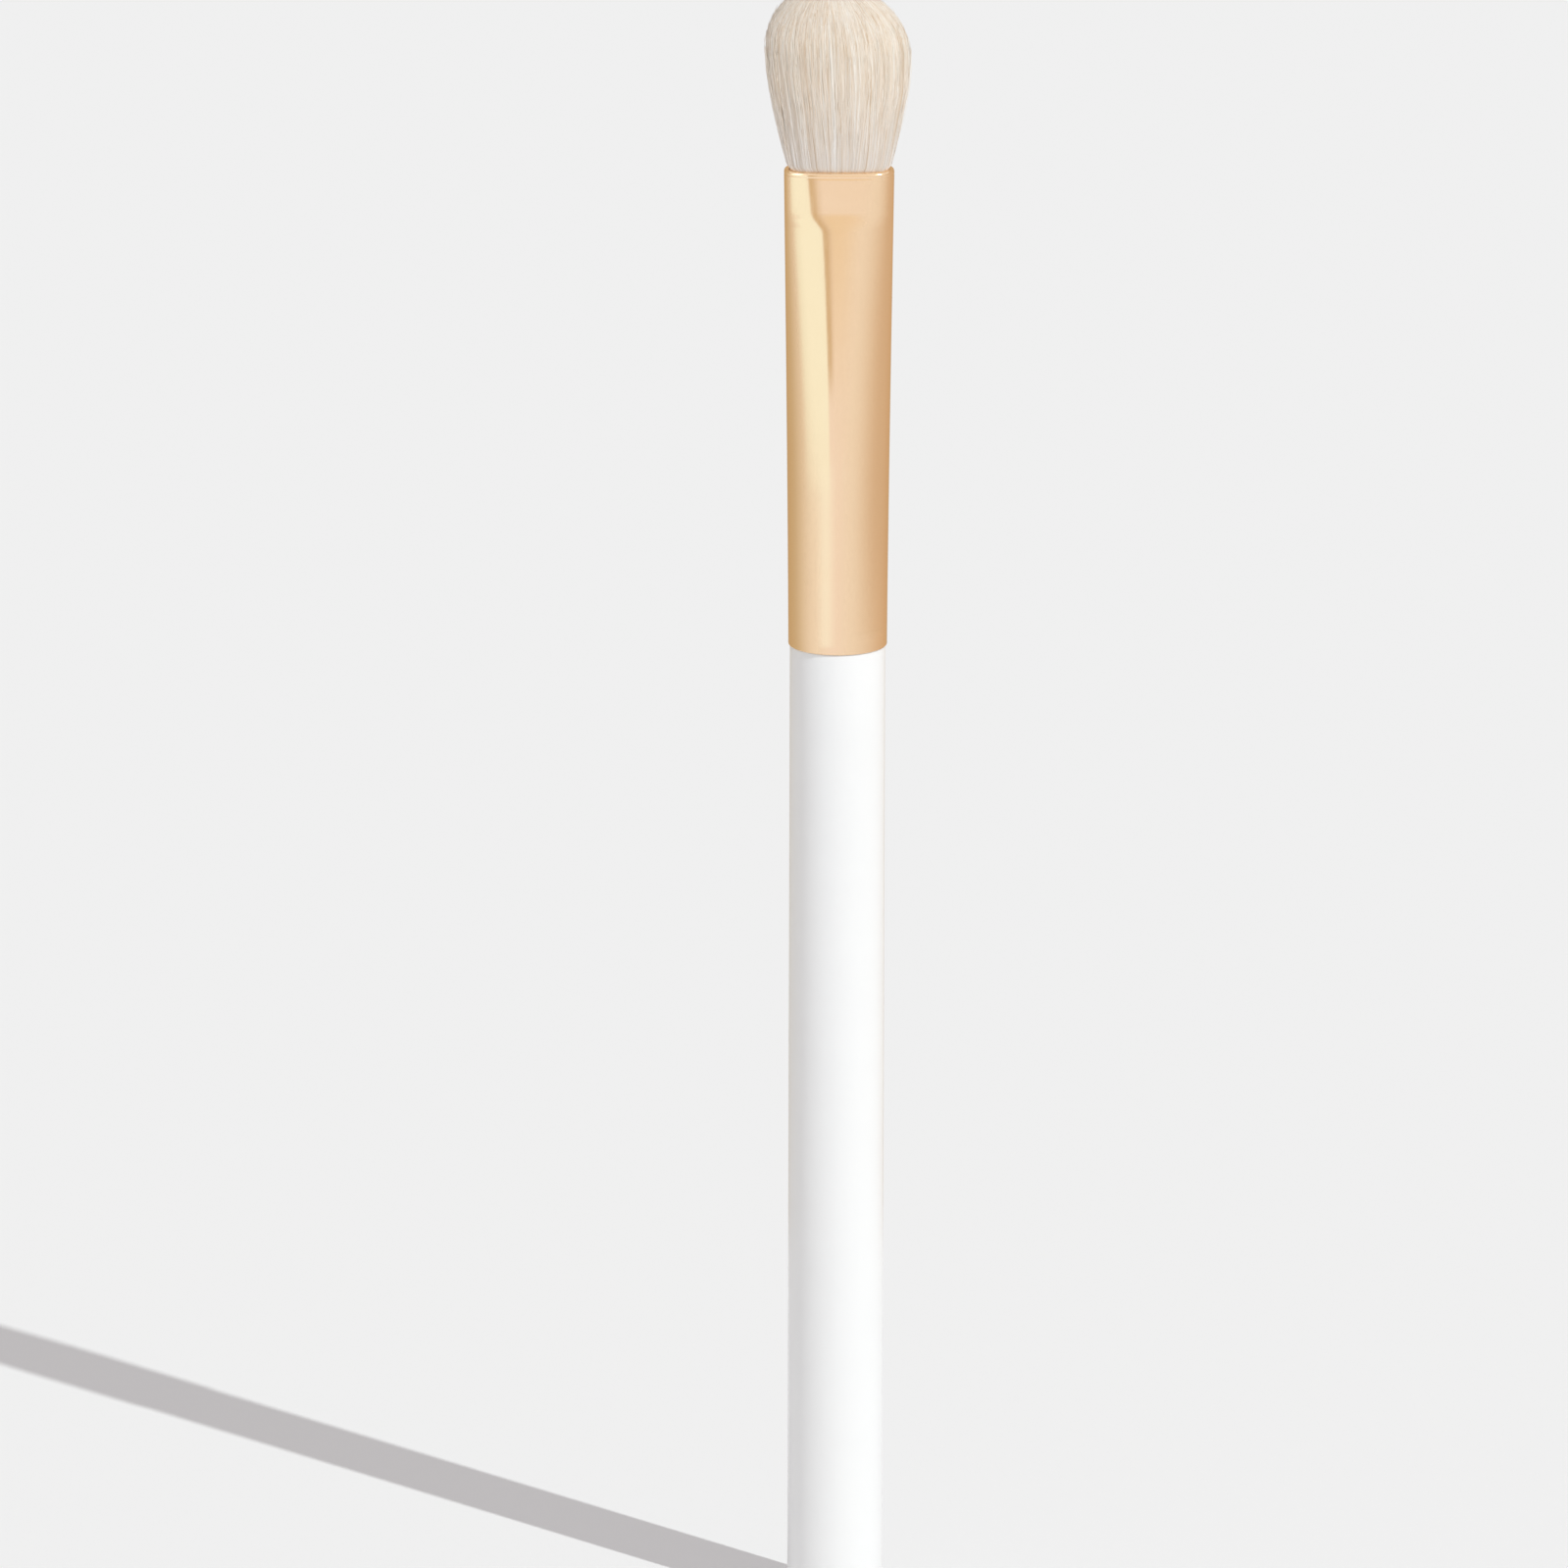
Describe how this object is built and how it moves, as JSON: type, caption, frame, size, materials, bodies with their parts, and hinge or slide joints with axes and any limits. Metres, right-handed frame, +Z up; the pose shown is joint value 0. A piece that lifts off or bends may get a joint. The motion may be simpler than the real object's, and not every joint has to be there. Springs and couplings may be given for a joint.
{
  "type": "eyeshadow brush",
  "caption": "Short eyeshadow brush: a soft domed hair tuft that bends and springs back, in a gold metal ferrule pressed flat at the mouth, on a straight white lacquered handle.",
  "frame": {"origin": "centre of the handle's flat foot, where the brush stands", "axes": "+Z up the brush from the foot to the tuft, X across the wide side of the tuft, Y through its thin side"},
  "size_m": [0.0108, 0.0072, 0.123],
  "materials": {
    "white_lacquer": "smooth satin white lacquer over turned wood",
    "gold_metal": "polished, warm gold coloured",
    "glue": "cured resin",
    "thread": "twisted thread",
    "hair": "fine soft cream hair with natural tips"
  },
  "bodies": {
    "brush": {"handle": "white_lacquer", "tenon_glue": "glue", "ferrule": "gold_metal", "root_glue": "glue", "root_tie": "thread", "hair_root": "hair"},
    "tuft": {"hair_tuft": "hair"}
  },
  "joints": [
    {"name": "tuft_bend", "type": "hinge", "parent": "brush", "child": "tuft", "pos_m": [0, 0, 0.1112], "axis": [1, 0, 0], "range_deg": [-30, 30], "stiffness_Nm_per_rad": 0.006}
  ]
}
